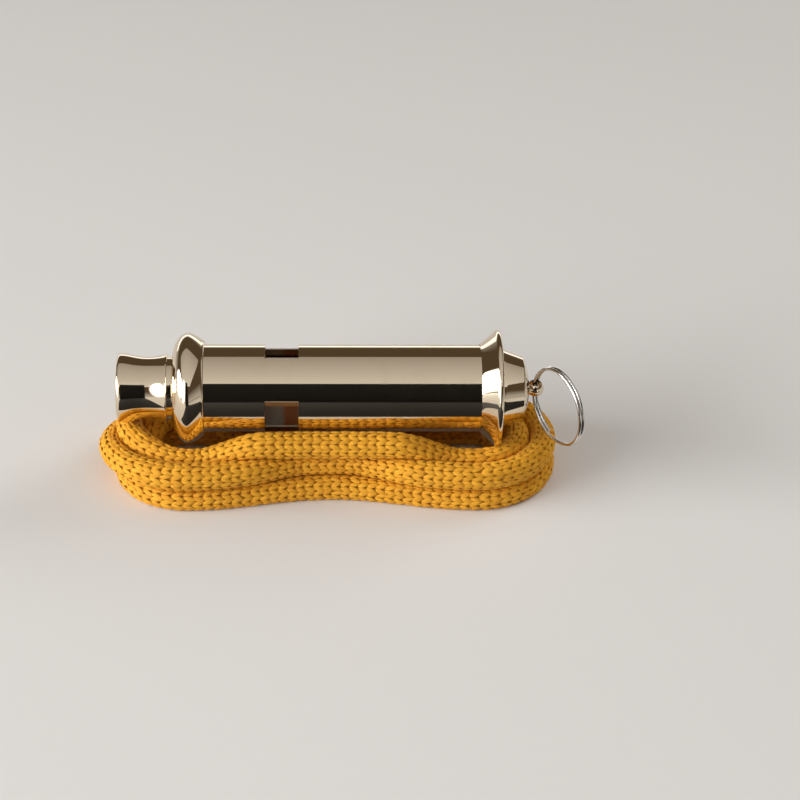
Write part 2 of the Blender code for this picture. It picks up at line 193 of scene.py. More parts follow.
def cord_route(run_points=90, fold_points=48):
    """Points of the closed middle line, in millimetres."""
    points = []
    for turn in range(CORD_TURNS):
        out, up = cord_place(turn)
        for station in np.linspace(LEFT_FOLD, RIGHT_FOLD, run_points):
            aside = heap(station, turn)
            points.append((station, waist(station) - out - aside[0], up + aside[1]))
        for angle in np.linspace(-math.pi / 2, math.pi / 2, fold_points)[1:-1]:
            points.append((RIGHT_FOLD + out * math.cos(angle), out * math.sin(angle), up))
        for station in np.linspace(RIGHT_FOLD, LEFT_FOLD, run_points):
            points.append((station, out - waist(station), up))
        for share in np.linspace(0, 1, fold_points)[1:-1]:
            out, up = cord_place(turn + smooth_step(share))
            angle = math.pi * (0.5 + share)
            points.append((LEFT_FOLD + out * math.cos(angle), out * math.sin(angle), up))
    return np.array(points) + np.array((TIP, AXIS, CORD_LOW * MM)) / MM


def even_line(points, count):
    """The closed line again, as count points the same distance apart, and its length."""
    closed = np.vstack((points, points[:1]))
    along = np.concatenate(([0], np.cumsum(np.linalg.norm(np.diff(closed, axis=0), axis=1))))
    places = np.linspace(0, along[-1], count, endpoint=False)
    return np.column_stack([np.interp(places, along, closed[:, k]) for k in range(3)]), along[-1]


middle_line, cord_length = even_line(cord_route(), SAMPLES)
print("cord:", round(cord_length), "mm long,", COURSES, "courses of", round(cord_length / COURSES, 2), "mm")

# %% [markdown]
# Room beside the whistle
#
# The whistle rests in the hank, and the soft cord gives way to it. A cloth simulation could find out how
# far, but it would shake the neat turns apart. The whistle is round, so its plain outline is enough to work
# out where a ray from the cord's middle line would meet it.

# %% Room beside the whistle
TOUCH = 0.15
LEAST_SLOPE = 1e-9
WHISTLE_OUTLINE = (
    (-4.0, 0.0), (0.0, 6.8), (8.0, 6.8), (11.0, 7.5), (13.7, 10.6), (16.8, 9.3), (17.5, 8.5),
    (69.5, 8.5), (73.4, 11.4), (74.4, 11.4), (74.7, 7.6), (78.5, 6.4), (79.6, 1.7), (84.0, 0.0))
OUTLINE_STATIONS, OUTLINE_RADII = np.array(WHISTLE_OUTLINE).T


def cord_axes(line):
    """Side and up directions across the cord, for every point of its line."""
    ahead = np.roll(line, -1, axis=0) - np.roll(line, 1, axis=0)
    ahead /= np.linalg.norm(ahead, axis=1)[:, None]
    up = np.array((0, 0, 1)) - ahead * ahead[:, 2:]
    up /= np.linalg.norm(up, axis=1)[:, None]
    return np.cross(up, ahead), up


def room_to_whistle(place, ways):
    """How far a point of the cord may swell each way before it meets the whistle's outline."""
    across = place[1:] - np.array((AXIS / MM, 0))
    outline = np.interp(place[0] - TIP / MM, OUTLINE_STATIONS, OUTLINE_RADII) + TOUCH
    towards = -(ways[:, 1:] @ across)
    slope = np.maximum((ways[:, 1:] ** 2).sum(axis=1), LEAST_SLOPE)
    inside = towards ** 2 - slope * (across @ across - outline ** 2)
    hit = (towards - np.sqrt(np.maximum(inside, 0))) / slope
    return np.where((inside > 0) & (hit > 0), hit, np.inf)


print("room: the whistle is", 2 * OUTLINE_RADII.max(), "mm across at its widest")

# %% [markdown]
# How the cord is pressed
#
# A knitted cord is soft. Where two turns lie side by side they share a flat border half way between them,
# and on the table the lowest are flat underneath. Round tubes would stand apart or cut into each other. So
# for every place along the cord and every direction round it, this works out how far it may swell.

# %% Pressed section of the cord
CORD_SWELL = 2.66
AROUND = 36
PRESS_POWER = 14
PRESS_REACH = 6.4
OWN_STRETCH = 3 * CORD_DIAMETER
LEAST_FACING = 1e-3


def pressed_section(line, length):
    """The share of its swell that the cord reaches, per point of its line and direction round it."""
    side, up = cord_axes(line)
    angles = np.linspace(0, math.tau, AROUND, endpoint=False)
    ways = side[:, None] * np.cos(angles)[:, None] + up[:, None] * np.sin(angles)[:, None]
    far_along = round(OWN_STRETCH / (length / len(line)))
    order = np.arange(len(line))
    tightness = np.zeros((len(line), AROUND))
    for i in order:
        apart = np.abs(order - i)
        apart = np.minimum(apart, len(line) - apart)
        offsets = line - line[i]
        distance = np.linalg.norm(offsets, axis=1)
        near = np.where((distance < PRESS_REACH) & (apart > far_along))[0]
        if len(near):
            facing = ways[i] @ (offsets[near] / distance[near, None]).T
            limit = distance[near] / 2 / np.maximum(facing, LEAST_FACING)
            tightness[i] = CORD_SWELL / limit.min(axis=1)
        down = np.maximum(-ways[i][:, 2], LEAST_FACING)
        tightness[i] = np.maximum(tightness[i], CORD_SWELL * down / (line[i, 2] - FLOOR / MM))
        tightness[i] = np.maximum(tightness[i], CORD_SWELL / room_to_whistle(line[i], ways[i]))
    return (1 + tightness ** PRESS_POWER) ** (-1 / PRESS_POWER)


section = pressed_section(middle_line, cord_length)
least, most = (round(CORD_SWELL * share, 2) for share in (section.min(), section.max()))
print("cord section: reaches", least, "to", most, "mm from the middle line")

# %% [markdown]
# From the flat knit to the cord
#
# The knit is drawn flat first: so far along the cord, so far round it, so high above its middle line. A
# curve modifier could bend a flat knit along the route, but it knows nothing of the pressed section. This
# rolls flat places onto the cord as it is pressed.

# %% Roll flat places onto the cord
TWIST_STEPS = 2
WALES = 9
cord_side, cord_up = cord_axes(middle_line)


def between_samples(table, place):
    """Values of a closed table at fractional sample places."""
    low = np.floor(place).astype(int)
    share = (place - low)[:, None]
    return table[low % SAMPLES] * (1 - share) + table[(low + 1) % SAMPLES] * share


def on_cord(along, turn, height):
    """Points of the scene from flat places: along in samples, turn in radians and height in millimetres."""
    turn = turn + TWIST_STEPS * math.tau / WALES * along / SAMPLES
    centre = between_samples(middle_line, along)
    side = between_samples(cord_side, along)
    up = between_samples(cord_up, along)
    slot = turn / math.tau * AROUND
    low = np.floor(slot).astype(int)
    share = slot - low
    row = np.round(along).astype(int) % SAMPLES
    reach = section[row, low % AROUND] * (1 - share) + section[row, (low + 1) % AROUND] * share
    way = side * np.cos(turn)[:, None] + up * np.sin(turn)[:, None]
    points = (centre + way * (height * reach)[:, None]) * MM
    points[:, 2] = np.maximum(points[:, 2], FLOOR)
    return points


print("knit:", WALES, "wales round the cord,", TWIST_STEPS, "wales of twist in all")

# %% [markdown]
# The core
#
# The inside of the knit shows in its small holes as darker amber, which is painted shade on the core. It
# could be left open, but then light would leak through. A plain tube just under the stitches closes it.

# %% Core
CORE_HEIGHT = 2.27
CORE_SIDES = 20
CORE_SKIP = 2


def mesh_object(name, points, faces):
    """A smooth mesh from its points and faces."""
    mesh = bpy.data.meshes.new(name)
    mesh.from_pydata(points.tolist(), [], faces)
    mesh.shade_smooth()
    item = bpy.data.objects.new(name, mesh)
    bpy.context.scene.collection.objects.link(item)
    return item


def add_core():
    """A closed tube along the whole cord."""
    rings = SAMPLES // CORE_SKIP
    places = np.arange(0.0, SAMPLES, CORE_SKIP)
    turns = np.arange(CORE_SIDES) * math.tau / CORE_SIDES
    along, turn = (table.ravel() for table in np.meshgrid(places, turns, indexing="ij"))
    faces = []
    for ring in range(rings):
        here, there = ring * CORE_SIDES, (ring + 1) % rings * CORE_SIDES
        for k in range(CORE_SIDES):
            after = (k + 1) % CORE_SIDES
            faces.append((here + k, here + after, there + after, there + k))
    return mesh_object("lanyard_core", on_cord(along, turn, np.full(along.size, CORE_HEIGHT)), faces)


core = add_core()
print("core:", len(core.data.polygons), "faces")

# %% [markdown]
# One leg of a stitch
#
# Every stitch of plain knitting is a V of two legs. A leg rises out of the stitch before, swells and dives
# under the next one. A bump map could only hint at this, and the cord's edge would stay smooth. So a leg is
# modelled, and mirrored for the other hand. It has few faces, because there are thousands of legs.

# %% Leg of a stitch
LEG_SIDES = 8
LEG_RINGS = 6
LEG_FOOT = 0.105
LEG_HEAD = 0.46
LEG_LENGTH = 1.30
LEG_WIDTH = 0.235
LEG_THICK = 0.13
LEG_LOW = 2.415
LEG_RISE = 0.185
LEG_ARCH = 0.8
LEG_LEAN = 0.16
LEG_BLUNT = 0.06
LEG_ROUND = 0.6
PLY_TWIST = 4


def leg_template():
    """Flat places of one right-hand leg: across in wales, along in stitches and height in millimetres."""
    rings = np.linspace(0, 1, LEG_RINGS)
    sides = np.arange(LEG_SIDES) * math.tau / LEG_SIDES
    share, angle = (table.ravel() for table in np.meshgrid(rings, sides, indexing="ij"))
    swell = np.sin(math.pi * (LEG_BLUNT + (1 - 2 * LEG_BLUNT) * share)) ** LEG_ROUND
    across = LEG_FOOT + (LEG_HEAD - LEG_FOOT) * smooth_step(share) + LEG_WIDTH * swell * np.cos(angle)
    along = LEG_LENGTH * share - LEG_LEAN * swell * np.cos(angle)
    height = LEG_LOW + LEG_RISE * np.sin(math.pi * share) ** LEG_ARCH + LEG_THICK * swell * np.sin(angle)
    ply = angle + PLY_TWIST * share
    return across, along, height, np.column_stack((share, np.cos(ply), np.sin(ply)))


def leg_faces(mirrored):
    """Faces of many legs, outwards for either hand."""
    sides = []
    for ring in range(LEG_RINGS - 1):
        for k in range(LEG_SIDES):
            a, b = ring * LEG_SIDES + k, ring * LEG_SIDES + (k + 1) % LEG_SIDES
            sides.append((a, a + LEG_SIDES, b + LEG_SIDES, b))
    last = (LEG_RINGS - 1) * LEG_SIDES
    ends = [tuple(range(LEG_SIDES)), tuple(range(last, last + LEG_SIDES))[::-1]]
    faces = []
    for leg, flip in enumerate(mirrored):
        start = leg * LEG_RINGS * LEG_SIDES
        for face in sides + ends:
            faces.append(tuple(start + v for v in (face[::-1] if flip else face)))
    return faces


print("leg:", len(leg_faces([False])), "faces")

# %% [markdown]
# The knit
#
# The stitches stand in columns along the cord, called wales, and in rows round it, called courses. An array
# modifier would make every stitch the same. Real yarn is uneven, so each leg differs a little in size and
# place by a seeded draw. Four stretches keep each mesh light.

# %% Stitches
STRETCHES = 4
THICKNESS_SPREAD = 0.07
LENGTH_SPREAD = 0.03
PLACE_SPREAD = 0.05
SIDE_SPREAD = 0.02
HEIGHT_SPREAD = 0.025
FIBRE_SHIFT = 20
rng = np.random.default_rng(7)


def keep_values(piece, name, kind, field, values):
    """Stores a value for every point of a piece, for its material to read."""
    piece.data.attributes.new(name, kind, "POINT").data.foreach_set(field, values.ravel())


def add_stitches(stretch):
    """One stretch of the knit, with the fibre's direction and each leg's tone kept as attributes."""
    across, along, height, fibre = leg_template()
    courses = range(COURSES * stretch // STRETCHES, COURSES * (stretch + 1) // STRETCHES)
    legs = [(course, wale, hand) for course in courses for wale in range(WALES) for hand in (1, -1)]
    course, wale, hand = (np.array(column)[:, None] for column in zip(*legs))

    def uneven(spread):
        return spread * rng.standard_normal((len(legs), 1))

    thick = 1 + uneven(THICKNESS_SPREAD)
    place = course + along * (1 + uneven(LENGTH_SPREAD)) + uneven(PLACE_SPREAD)
    turn = (wale + hand * across * thick + uneven(SIDE_SPREAD)) * math.tau / WALES
    high = height + uneven(HEIGHT_SPREAD)
    points = on_cord((place * SAMPLES_PER_COURSE).ravel(), turn.ravel(), high.ravel())
    knit = mesh_object(f"lanyard_knit_{stretch + 1}", points, leg_faces(hand.ravel() < 0))
    shift = np.repeat(rng.random((len(legs), 3)) * FIBRE_SHIFT, len(across), 0) * (1, 0, 0)
    keep_values(knit, "fibre", "FLOAT_VECTOR", "vector", np.tile(fibre, (len(legs), 1)) + shift)
    keep_values(knit, "tone", "FLOAT", "value", np.repeat(rng.random(len(legs)), len(across)))
    return knit


knits = [add_stitches(stretch) for stretch in range(STRETCHES)]
print("stitches:", sum(len(knit.data.polygons) for knit in knits), "faces in", STRETCHES, "stretches")

# %% [markdown]
# The core's colour
#
# The core is the same yarn, matte, with its ambers painted darker than the yarn's: painted shade for the
# shade inside the knit. One flat colour would look painted, so a fine noise moves it between two ambers. A
# script repeats the same moves for every finish, so each move gets a helper.

# %% Core colour
# Painted shade: both core ambers are darker than the yarn, for the shade inside the knit.
CORE_PAINTED_SHADE_DARK = (0.60, 0.235, 0.006)
CORE_PAINTED_SHADE_LIGHT = (0.72, 0.31, 0.012)


def new_material(name):
    """A material with its nodes and its main shader."""
    material = bpy.data.materials.new(name)
    material.use_nodes = True
    return material, material.node_tree.nodes, material.node_tree.nodes["Principled BSDF"]


def node(nodes, kind, **settings):
    """A shader node with its settings: names of inputs are set as inputs, others as properties."""
    made = nodes.new(kind)
    for name, value in settings.items():
        key = name.replace("_", " ").title()
        if key in made.inputs:
            made.inputs[key].default_value = value
        else:
            setattr(made, name, value)
    return made


def wire(source, output, target, entry):
    """Joins an output of one node to an input of another."""
    target.id_data.links.new(source.outputs[output], target.inputs[entry])


def set_inputs(shader, values):
    """Sets what is the same all over a surface."""
    for name, value in values.items():
        shader.inputs[name].default_value = value


def colour_ramp(nodes, colours, places=(0, 1)):
    """A ramp from one colour to another between two places."""
    ramp = nodes.new("ShaderNodeValToRGB")
    for step, colour, place in zip(ramp.color_ramp.elements, colours, places):
        step.position = place
        step.color = (*colour, 1)
    return ramp


def core_material():
    material, nodes, shader = new_material("amber_core_painted_shade")
    place = nodes.new("ShaderNodeTexCoord")
    grain = node(nodes, "ShaderNodeTexNoise", scale=900.0, detail=2.0)
    ramp = colour_ramp(nodes, (CORE_PAINTED_SHADE_DARK, CORE_PAINTED_SHADE_LIGHT))
    wire(place, "Object", grain, "Vector")
    wire(grain, "Fac", ramp, "Fac")
    wire(ramp, "Color", shader, "Base Color")
    set_inputs(shader, {"Roughness": 0.9})
    return material


core.data.materials.append(core_material())
print("core colour:", core.data.materials[0].name)

# %% [markdown]
# Yarn
#
# The yarn is amber, with fine streaks that follow the twist of its plies, and its fluff has a soft sheen. A
# noise in plain space would run straight through neighbouring legs. So the streaks are laid on the fibre's
# own direction, which every leg carries as an attribute, and a second attribute gives each leg its tone.

# %% Yarn
YARN_DARK = (0.64, 0.268, 0.007)
YARN_LIGHT = (0.82, 0.39, 0.020)
YARN_SHEEN = (1.0, 0.68, 0.18)
STREAK_STRETCH = (1.6, 3.2, 3.2)
TONE_SHARE = 0.45


def yarn_material():
    material, nodes, shader = new_material("amber_yarn")
    fibre = node(nodes, "ShaderNodeAttribute", attribute_name="fibre")
    stretch = node(nodes, "ShaderNodeVectorMath", operation="MULTIPLY")
    stretch.inputs[1].default_value = STREAK_STRETCH
    streaks = node(nodes, "ShaderNodeTexNoise", scale=2.2, detail=3.0, roughness=0.6)
    tone = node(nodes, "ShaderNodeAttribute", attribute_name="tone")
    mixed = node(nodes, "ShaderNodeMath", operation="MULTIPLY_ADD")
    mixed.inputs[1].default_value = TONE_SHARE
    ramp = colour_ramp(nodes, (YARN_DARK, YARN_LIGHT), (0.30, 0.95))
    bump = node(nodes, "ShaderNodeBump", strength=0.5, distance=0.1 * MM)
    wire(fibre, "Vector", stretch, 0)
    wire(stretch, "Vector", streaks, "Vector")
    wire(tone, "Fac", mixed, 0)
    wire(streaks, "Fac", mixed, 2)
    wire(mixed, "Value", ramp, "Fac")
    wire(ramp, "Color", shader, "Base Color")
    wire(streaks, "Fac", bump, "Height")
    wire(bump, "Normal", shader, "Normal")
    set_inputs(shader, {"Roughness": 0.72, "Specular IOR Level": 0.3, "Sheen Weight": 0.25,
                        "Sheen Roughness": 0.45, "Sheen Tint": (*YARN_SHEEN, 1)})
    return material


yarn = yarn_material()
for knit in knits:
    knit.data.materials.append(yarn)
print("yarn:", yarn.name, "on", len(knits), "stretches")

# %% [markdown]
# What the cord is
#
# The hank lies under the whistle and goes where it goes, so its pieces ride on the whistle, and the
# cord's own solid is hidden.

# %% The cord's facts
for piece in [core, *knits]:
    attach(piece, "whistle")
    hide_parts("lanyard")
print("cord facts:", round(cord_length * MM, 3), "m long and", CORD_DIAMETER, "mm thick")

# %% [markdown]
# Turned shells
#
# The whistle's shells are drawn and spun from brass sheet, so each is round about the same axis. A
# ready-made cylinder would need many cuts to get these outlines. It is simpler to work as on a spinning
# lathe: one vertex is extruded along the shell's outline, outside and inside, and the closed outline is
# spun once round the axis.

# %% A lathe
LATHE_STEPS = 240
MERGE_WITHIN = 1e-6
SHARP_FROM = 30


def start_vertex(name, place):
    """A new piece in edit mode that is one single vertex."""
    bpy.ops.object.select_all(action="DESELECT")
    bpy.ops.mesh.primitive_plane_add(size=MM)
    piece = bpy.context.object
    piece.name = name
    piece.data.name = name
    bpy.ops.object.mode_set(mode="EDIT")
    bpy.ops.mesh.select_all(action="SELECT")
    bpy.ops.mesh.merge(type="CENTER")
    bpy.ops.transform.translate(value=place)
    return piece


def draw_on(points):
    """Extrudes the selected vertex from one point to the next."""
    for here, there in zip(points[:-1], points[1:]):
        bpy.ops.mesh.extrude_region_move(TRANSFORM_OT_translate={"value": there - here})


def smooth_by_angle(degrees):
    """Shades the active piece smooth, apart from edges sharper than this."""
    bpy.ops.object.shade_smooth_by_angle(angle=math.radians(degrees))


def lathe(name, outline):
    """A closed outline of (station, radius) points, spun round the whistle's axis."""
    points = [Vector((TIP + station * MM, AXIS, radius * MM)) for station, radius in outline + outline[:1]]
    piece = start_vertex(name, points[0])
    draw_on(points)
    bpy.ops.mesh.select_all(action="SELECT")
    bpy.ops.mesh.remove_doubles(threshold=MERGE_WITHIN)
    bpy.ops.mesh.spin(steps=LATHE_STEPS, angle=math.tau, center=(0, AXIS, 0), axis=(1, 0, 0))
    bpy.ops.mesh.select_all(action="SELECT")
    bpy.ops.mesh.remove_doubles(threshold=MERGE_WITHIN)
    bpy.ops.mesh.normals_make_consistent(inside=False)
    bpy.ops.object.mode_set(mode="OBJECT")
    smooth_by_angle(SHARP_FROM)
    return piece


print("lathe:", LATHE_STEPS, "steps to a turn")

# %% [markdown]
# Mouthpiece
#
# The mouthpiece is a waisted neck with a rolled lip. Its foot flares to a narrow groove before the collar,
# and the flare is where the light catches it. A straight tube with a bevel would lose the waist. So the
# outline is put together from curves: an arc, a sweep that starts slowly and a wave that is level at both
# ends.

# %% Mouthpiece
BORE = 5.35
LIP = 0.7
NECK_WAIST = (5.6, 6.05)
NECK_FOOT = (9.5, 6.66)
NECK_FLARE = 2.4
FOOT_ROUND = 0.2
GROOVE = 6.1
JOINT_START, JOINT_END, JOINT_RADIUS = 12.2, 12.8, 8.45


def arc(centre, radii, start, end, count):
    """Points of an elliptic arc, angles in degrees from the axis towards larger radius."""
    angles = np.radians(np.linspace(start, end, count))
    return [(centre[0] + radii[0] * math.cos(a), centre[1] + radii[1] * math.sin(a)) for a in angles]


def sweep(start, end, power, count):
    """Points from start to end whose radius changes by a power of the way."""
    ways = np.linspace(0, 1, count + 1)[1:]
    return [(start[0] + (end[0] - start[0]) * t, start[1] + (end[1] - start[1]) * t ** power) for t in ways]


def wave(start, end, count):
    """Points from start to end on a half cosine, level at both ends."""
    ways = np.linspace(0, 1, count + 1)[1:]
    return [(start[0] + (end[0] - start[0]) * t,
             start[1] + (end[1] - start[1]) * (0.5 - 0.5 * math.cos(math.pi * t))) for t in ways]


mouthpiece = lathe(
    "mouthpiece_shell",
    arc((LIP, BORE + LIP), (LIP, LIP), 270, 90, count=25)
    + wave((LIP, BORE + 2 * LIP), NECK_WAIST, count=16)
    + sweep(NECK_WAIST, NECK_FOOT, NECK_FLARE, count=18)
    + arc((NECK_FOOT[0], NECK_FOOT[1] - FOOT_ROUND), (FOOT_ROUND, FOOT_ROUND), 75, 0, count=6)
    + [(NECK_FOOT[0] + FOOT_ROUND, GROOVE), (JOINT_START, GROOVE), (JOINT_START, JOINT_RADIUS),
       (JOINT_END, JOINT_RADIUS), (JOINT_END, BORE)])
print("mouthpiece:", len(mouthpiece.data.polygons), "faces, bore", 2 * BORE, "mm")

# %% [markdown]
# Bead collar
#
# A hollow bead hides the joint of neck and barrel: steep on the mouthpiece's side, and sloping to a rounded
# edge that stands a little off the barrel. A torus would be the same on both sides. On the lathe the steep
# side is a quarter of an ellipse, the slope is a sweep, and the inside follows them one wall lower.

# %% Collar
CREST = (13.75, 10.75)
COLLAR_REACH = 3.1
COLLAR_FOOT = GROOVE + 0.05
COLLAR_RISE = CREST[1] - COLLAR_FOOT
COLLAR_WALL = 0.4
SLOPE_END = (16.60, 9.30)
SLOPE_POWER = 1.5
COLLAR_EDGE = (16.52, 8.97)
EDGE_ROUND = 0.34
EDGE_INSIDE = 8.53
COLLAR_HOLLOW = (COLLAR_REACH - COLLAR_WALL, COLLAR_RISE - COLLAR_WALL)
SLOPE_START = 16.40
SLOPE_INSIDE = [(16.25, 9.0), (15.45, 9.75), (14.6, 10.2)]
collar = lathe(
    "bead_collar_shell",
    arc((CREST[0], COLLAR_FOOT), (COLLAR_REACH, COLLAR_RISE), 180, 90, count=28)
    + sweep(CREST, SLOPE_END, SLOPE_POWER, count=16)
    + arc(COLLAR_EDGE, (EDGE_ROUND, EDGE_ROUND), 70, 0, count=8)
    + [(COLLAR_EDGE[0] + EDGE_ROUND, EDGE_INSIDE), (SLOPE_START, EDGE_INSIDE)] + SLOPE_INSIDE
    + arc((CREST[0], COLLAR_FOOT), COLLAR_HOLLOW, 90, 180, count=18))
print("collar:", len(collar.data.polygons), "faces,", 2 * CREST[1], "mm across")

# %% [markdown]
# Barrel and its windows
#
# The barrel is a plain tube. Three windows are sawn straight across it, about a third of a turn apart, one
# for each chamber inside. The top one is sawn a little deeper and shows as a notch in the outline. Faces
# could be deleted to open a window, but its rim would follow the mesh. A sawn slot is a Boolean cut with a
# block.

# %% Barrel
BARREL_RADIUS = 8.5
BARREL_INSIDE = 7.9
BARREL_END = 73.9
WINDOW_START = 28.6
WINDOW_LENGTH = 6.5
WINDOWS = ((-20, 6.86), (106, 7.3), (226, 7.3))
SAW_BLOCK = 4.0


def apply_modifiers(piece):
    """Makes a piece active and applies its modifiers."""
    bpy.ops.object.select_all(action="DESELECT")
    piece.select_set(True)
    bpy.context.view_layer.objects.active = piece
    for step in list(piece.modifiers):
        bpy.ops.object.modifier_apply(modifier=step.name)


def saw(piece, cutter):
    """Cuts a piece with a block or a drill, which is then thrown away."""
    step = piece.modifiers.new("saw", "BOOLEAN")
    step.operation = "DIFFERENCE"
    step.object = cutter
    apply_modifiers(piece)
    bpy.data.objects.remove(cutter, do_unlink=True)


def window_block(turn, floor):
    """A block across the tube at one window, down to its floor."""
    middle = Vector((TIP + (WINDOW_START + WINDOW_LENGTH / 2) * MM, AXIS, 0))
    out = Matrix.Rotation(turn, 3, "X") @ Vector((0, 0, floor + SAW_BLOCK / 2))
    bpy.ops.object.select_all(action="DESELECT")
    bpy.ops.mesh.primitive_cube_add(size=MM, location=middle + out * MM, rotation=(turn, 0, 0),
                                    scale=(WINDOW_LENGTH, 4 * SAW_BLOCK, SAW_BLOCK))
    return bpy.context.object


barrel = lathe("barrel_tube", [(BARREL_START, BARREL_RADIUS), (BARREL_END, BARREL_RADIUS),
                               (BARREL_END, BARREL_INSIDE), (BARREL_START, BARREL_INSIDE)])
for turn, floor in WINDOWS:
    saw(barrel, window_block(math.radians(turn), floor))
print("barrel:", len(barrel.data.polygons), "faces with", len(WINDOWS), "windows")

# %% [markdown]
# Filed edges
#
# The sawn edges are filed, and so they catch the light as a fine line. Perfectly sharp edges would show
# none. A hair-fine Bevel breaks every edge sharper than a limit. The tube is then shaded apart from its
# cuts, because shared normals at the windows' corners would bend its reflections.

# %% Filed edges
FILED_FROM = 40
FILED_WIDTH = 0.02
BARREL_SHARP_FROM = 12


def break_edges(piece, width, sharp_from):
    """Small bevels on the sharp edges. Edges below sharp_from degrees are then shaded smooth."""
    step = piece.modifiers.new("edges", "BEVEL")
    step.width = width * MM
    step.segments = 2
    step.limit_method = "ANGLE"
    step.angle_limit = math.radians(FILED_FROM)
    apply_modifiers(piece)
    smooth_by_angle(sharp_from)


break_edges(barrel, FILED_WIDTH, BARREL_SHARP_FROM)
print("barrel:", len(barrel.data.polygons), "faces with filed edges")

# %% [markdown]
# End flange
#
# The flange is a spun trumpet flare that grows smoothly out of the barrel, with a rounded rim and a flat
# web behind. A cone with a bevel would show a crease where it leaves the barrel. On the lathe the flare is
# one sweep, which ends in an arc for the rim.

# %% Flange
FLARE_START = (70.35, 8.56)
FLARE_TOP = (73.35, 11.22)
FLARE_POWER = 1.08
RIM = (73.82, 10.95)
RIM_ROUND = (0.55, 0.45)
FLANGE_BACK = [(74.42, 10.5), (74.53, 9.6), (74.65, 8.6)]
WEB, WEB_FRONT = 74.68, 74.15
WEB_HOLE = 7.75
FLANGE_SEAT = 8.53
flange = lathe(
    "end_flange_shell",
    [FLARE_START] + sweep(FLARE_START, FLARE_TOP, FLARE_POWER, count=16)
    + arc(RIM, RIM_ROUND, 125, 0, count=10) + FLANGE_BACK
    + [(WEB, WEB_HOLE), (WEB_FRONT, WEB_HOLE), (WEB_FRONT, FLANGE_SEAT)])
print("flange:", len(flange.data.polygons), "faces,", round(2 * (RIM[1] + RIM_ROUND[1]), 1), "mm across")

# %% [markdown]
# End cap
#
# The cap closes the barrel behind the flange. It is a drawn cup: a slight taper, a tight round edge and a
# domed end with a hole for the ring eye. A cylinder with a bevelled end would be flat, and a flat end
# mirrors one dull tone, so the cap is turned too.

# %% Cap
CAP_START = 71.5
CAP_FOOT = (74.7, 7.6)
CAP_TAPER = (75.3, 7.46)
CAP_EDGE = (78.45, 5.75)
CAP_ROUND = (0.55, 0.50)
CAP_DOME = [(79.12, 5.55), (79.40, 4.8), (79.70, 3.8), (79.92, 2.8), (80.03, 1.9)]
CAP_INSIDE = [(79.42, 2.8), (79.0, 4.4), (78.3, 5.65)]
CAP_END, CAP_END_INSIDE = 80.05, 79.55
CAP_HOLE = 1.3
CAP_WALL = 0.5
CAP_BORE = CAP_FOOT[1] - CAP_WALL
cap = lathe(
    "end_cap_shell",
    [(CAP_START, CAP_FOOT[1]), CAP_FOOT, CAP_TAPER] + arc(CAP_EDGE, CAP_ROUND, 72, 12, count=10)
    + CAP_DOME + [(CAP_END, CAP_HOLE), (CAP_END_INSIDE, CAP_HOLE)] + CAP_INSIDE
    + [(CAP_FOOT[0], CAP_BORE), (CAP_START, CAP_BORE)])
print("cap:", len(cap.data.polygons), "faces, hole", 2 * CAP_HOLE, "mm")

# %% [markdown]
# Ring eye
#
# A turned stud is riveted through the cap. Outside it is a ball with a hole drilled from top to bottom,
# whose edges are broken so that they don't cut the ring. A torus would look like bent wire. Turning the
# stud and drilling it, with the barrel's own saw and file, gives the solid eye.

# %% Ring eye
EYE_AT = (HINGE.x - TIP) / MM
EYE_RADIUS = 1.675
EYE_HOLE = 1.175
EYE_FILED_WIDTH = 0.14
SHANK = 1.2
RIVET_START, RIVET_END, RIVET_RADIUS = 77.8, 78.4, 2.1
SHOULDER = (79.58, 1.58)
SHOULDER_ROUND = (0.22, 0.17)
THROAT_START, THROAT_END = (79.81, 1.46), (80.18, SHANK)
THROAT_POWER = 0.5
eye = lathe(
    "ring_eye_stud",
    [(RIVET_START, 0), (RIVET_START, RIVET_RADIUS), (RIVET_END, RIVET_RADIUS), (RIVET_END, SHANK),
     (SHOULDER[0], SHANK)]
    + arc(SHOULDER, SHOULDER_ROUND, 90, 10, count=6)
    + sweep(THROAT_START, THROAT_END, THROAT_POWER, count=6)
    + arc((EYE_AT, 0), (EYE_RADIUS, EYE_RADIUS), 134, 0, count=28))
bpy.ops.object.select_all(action="DESELECT")
bpy.ops.mesh.primitive_cylinder_add(vertices=96, radius=EYE_HOLE * MM, depth=4 * EYE_RADIUS * MM,
                                    location=HINGE)
saw(eye, bpy.context.object)
break_edges(eye, EYE_FILED_WIDTH, SHARP_FROM)
print("eye:", len(eye.data.polygons), "faces, hole", 2 * EYE_HOLE, "mm")

# %% [markdown]
# Split ring
#
# Two turns of spring wire lie tight against each other and change places once. Two closed rings would lack
# the crossing and the wire's ends. So the wire's line is drawn by extruding a vertex, as for the lathe. As
# a curve it gets a round section, and then it is made a mesh.

# %% Split ring
RING_RADIUS = 7.7
RING_WIRE = 0.64
RING_LAYER = 0.68
RING_CROSSING = math.radians(60)
RING_ENDS = math.radians(-110)
RING_TURN = math.radians(-60)
RING_POINTS = 150
RING_SHARP_FROM = 50


def ring_points():
    """The wire's middle line, turned about the hinge to where it rests."""
    angles = RING_ENDS + np.linspace(RING_CROSSING, 2 * math.tau, RING_POINTS)
    layer = (smooth_step((angles - RING_ENDS - math.tau) / RING_CROSSING) - 0.5) * RING_LAYER
    line = np.column_stack((RING_RADIUS * (1 + np.cos(angles)), layer, RING_RADIUS * np.sin(angles))) * MM
    place = Matrix.Translation(HINGE) @ Matrix.Rotation(RING_TURN, 4, "Z")
    return [place @ Vector(point) for point in line]


